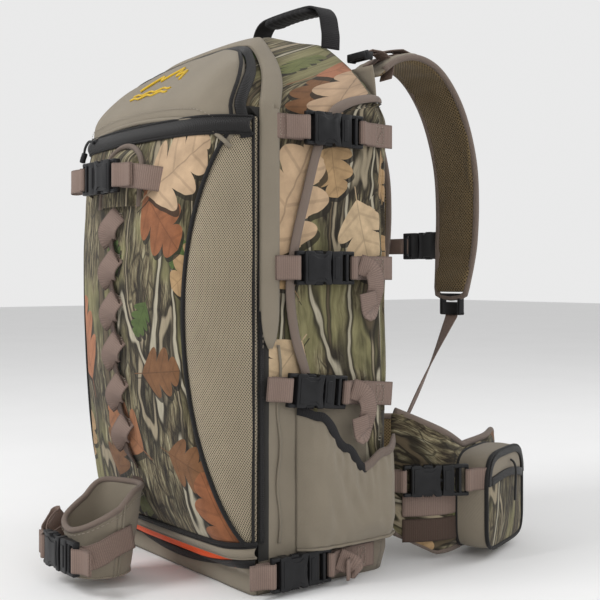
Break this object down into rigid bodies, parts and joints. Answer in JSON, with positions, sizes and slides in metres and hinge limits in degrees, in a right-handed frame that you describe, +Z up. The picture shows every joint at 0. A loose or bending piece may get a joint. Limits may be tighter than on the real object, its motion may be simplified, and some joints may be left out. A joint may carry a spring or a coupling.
{
  "type": "hunting backpack",
  "caption": "Tall framed hunting backpack with a zip front panel, lid flap, buckled holder and boot cup, side compression straps, shoulder harness and a pocketed hip belt.",
  "frame": {"origin": "centre of the flat base the pack stands on, below the middle of the bag", "axes": "+Z up along the bag, -Y out of the front panel, +Y toward the wearer, +X the wearer's right"},
  "size_m": [0.3828, 0.5504, 0.623],
  "materials": {
    "camo_fabric": "printed leaf and bark camouflage, brushed polyester",
    "plain_fabric": "taupe plain weave",
    "open_mesh": "tan open mesh",
    "pad_mesh": "olive brown spacer mesh",
    "webbing": "brown ribbed webbing",
    "black_webbing": "black webbing and coated zip tape",
    "buckle_plastic": "moulded, fine grain",
    "blaze_fabric": "blaze orange nylon",
    "stay_metal": "bare bar",
    "frame_plastic": "plain sheet",
    "black_cord": "braided"
  },
  "bodies": {
    "root": {"main_bag": "camo_fabric", "base_panel": "plain_fabric", "bottom_pocket": "plain_fabric", "blaze_cover": "blaze_fabric", "yoke_strip": "plain_fabric", "side_panel_right": "camo_fabric", "side_panel_left": "camo_fabric", "side_pocket_right": "plain_fabric", "side_pocket_left": "plain_fabric", "frame_sheet": "frame_plastic", "frame_stays": "stay_metal", "back_pads": "pad_mesh", "lumbar_pad": "pad_mesh", "strap_yoke": "plain_fabric", "lifter_adjusters": "buckle_plastic", "compression_webbing_right": "webbing", "compression_webbing_left": "webbing", "compression_sockets_right": "buckle_plastic", "compression_sockets_left": "buckle_plastic", "lower_webbing": "webbing", "load_lifters": "webbing"},
    "front_panel": {"front_center_panel": "camo_fabric", "mesh_pocket_right": "open_mesh", "mesh_pocket_left": "open_mesh", "front_zip_band": "black_webbing", "front_webbing": "webbing", "holder_pad": "plain_fabric", "holder_socket": "buckle_plastic"},
    "front_zip": {"front_zip_slider": "buckle_plastic"},
    "holder_buckle": {"holder_tongue": "buckle_plastic"},
    "boot_cup": {"boot_cup": "plain_fabric", "cup_webbing": "webbing", "cup_socket": "buckle_plastic"},
    "cup_buckle": {"cup_tongue": "buckle_plastic"},
    "lid": {"lid_flap": "plain_fabric"},
    "grab_handle": {"grab_handle_webbing": "black_webbing", "grab_handle_grip": "black_webbing"},
    "shoulder_right": {"shoulder_pad_right": "pad_mesh", "ladder_lock_right": "buckle_plastic", "sternum_webbing_right": "webbing", "sternum_socket": "buckle_plastic"},
    "shoulder_left": {"shoulder_pad_left": "pad_mesh", "ladder_lock_left": "buckle_plastic", "sternum_webbing_left": "webbing"},
    "sternum_buckle": {"sternum_tongue": "buckle_plastic"},
    "hip_right": {"hip_wing_right": "camo_fabric", "hip_pocket_right": "camo_fabric", "hip_buckle_right": "buckle_plastic", "pull_cord_right": "black_cord"},
    "upper_buckle_right": {"upper_tongue_right": "buckle_plastic"},
    "middle_buckle_right": {"middle_tongue_right": "buckle_plastic"},
    "lower_buckle_right": {"lower_tongue_right": "buckle_plastic"},
    "hip_left": {"hip_wing_left": "camo_fabric", "hip_pocket_left": "camo_fabric", "hip_buckle_left": "buckle_plastic", "pull_cord_left": "black_cord"},
    "upper_buckle_left": {"upper_tongue_left": "buckle_plastic"},
    "middle_buckle_left": {"middle_tongue_left": "buckle_plastic"},
    "lower_buckle_left": {"lower_tongue_left": "buckle_plastic"}
  },
  "joints": [
    {"name": "front_panel_open", "type": "hinge", "parent": "root", "child": "front_panel", "pos_m": [0, -0.11814, 0.052], "axis": [1, 0, 0], "range_deg": [0, 30]},
    {"name": "front_zip_travel", "type": "hinge", "parent": "front_panel", "child": "front_zip", "pos_m": [0, 0.52978, 0.462], "axis": [0, 0, 1], "range_deg": [0, 14]},
    {"name": "holder_buckle_release", "type": "slide", "parent": "front_panel", "child": "holder_buckle", "axis": [-1, 0, 0], "range_m": [0, 0.026]},
    {"name": "boot_cup_fold", "type": "hinge", "parent": "front_panel", "child": "boot_cup", "pos_m": [0, -0.13999, 0.101], "axis": [-1, 0, 0], "range_deg": [0, 40]},
    {"name": "cup_buckle_release", "type": "slide", "parent": "boot_cup", "child": "cup_buckle", "axis": [1, 0, 0], "range_m": [0, 0.026]},
    {"name": "lid_open", "type": "hinge", "parent": "root", "child": "lid", "pos_m": [0, -0.137, 0.481], "axis": [1, 0, 0], "range_deg": [0, 120]},
    {"name": "grab_handle_swing", "type": "hinge", "parent": "root", "child": "grab_handle", "pos_m": [0, 0.066, 0.5798], "axis": [1, 0, 0], "range_deg": [-55, 45]},
    {"name": "shoulder_right_swing", "type": "hinge", "parent": "root", "child": "shoulder_right", "pos_m": [0, 0.104, 0.538], "axis": [1, 0, 0], "range_deg": [-8, 20], "deforming": ["lower_webbing", "load_lifters"]},
    {"name": "shoulder_left_swing", "type": "hinge", "parent": "root", "child": "shoulder_left", "pos_m": [0, 0.104, 0.538], "axis": [1, 0, 0], "range_deg": [-8, 20]},
    {"name": "sternum_buckle_release", "type": "slide", "parent": "shoulder_left", "child": "sternum_buckle", "axis": [-1, 0, 0], "range_m": [0, 0.026]},
    {"name": "hip_right_swing", "type": "hinge", "parent": "root", "child": "hip_right", "pos_m": [0.127, 0.104, 0.1], "axis": [0, 0, -1], "range_deg": [-12, 18]},
    {"name": "upper_buckle_right_release", "type": "slide", "parent": "root", "child": "upper_buckle_right", "axis": [0, 1, 0], "range_m": [0, 0.026]},
    {"name": "middle_buckle_right_release", "type": "slide", "parent": "root", "child": "middle_buckle_right", "axis": [0, 1, 0], "range_m": [0, 0.026]},
    {"name": "lower_buckle_right_release", "type": "slide", "parent": "root", "child": "lower_buckle_right", "axis": [0, 0.9956, -0.0933], "range_m": [0, 0.026]},
    {"name": "hip_left_swing", "type": "hinge", "parent": "root", "child": "hip_left", "pos_m": [-0.127, 0.104, 0.1], "axis": [0, 0, 1], "range_deg": [-12, 18]},
    {"name": "upper_buckle_left_release", "type": "slide", "parent": "root", "child": "upper_buckle_left", "axis": [0, 1, 0], "range_m": [0, 0.026]},
    {"name": "middle_buckle_left_release", "type": "slide", "parent": "root", "child": "middle_buckle_left", "axis": [0, 1, 0], "range_m": [0, 0.026]},
    {"name": "lower_buckle_left_release", "type": "slide", "parent": "root", "child": "lower_buckle_left", "axis": [0, 0.9956, -0.0933], "range_m": [0, 0.026]}
  ],
  "couplings": [
    {"joint": "shoulder_left_swing", "follows": "shoulder_right_swing", "ratio": 1}
  ]
}
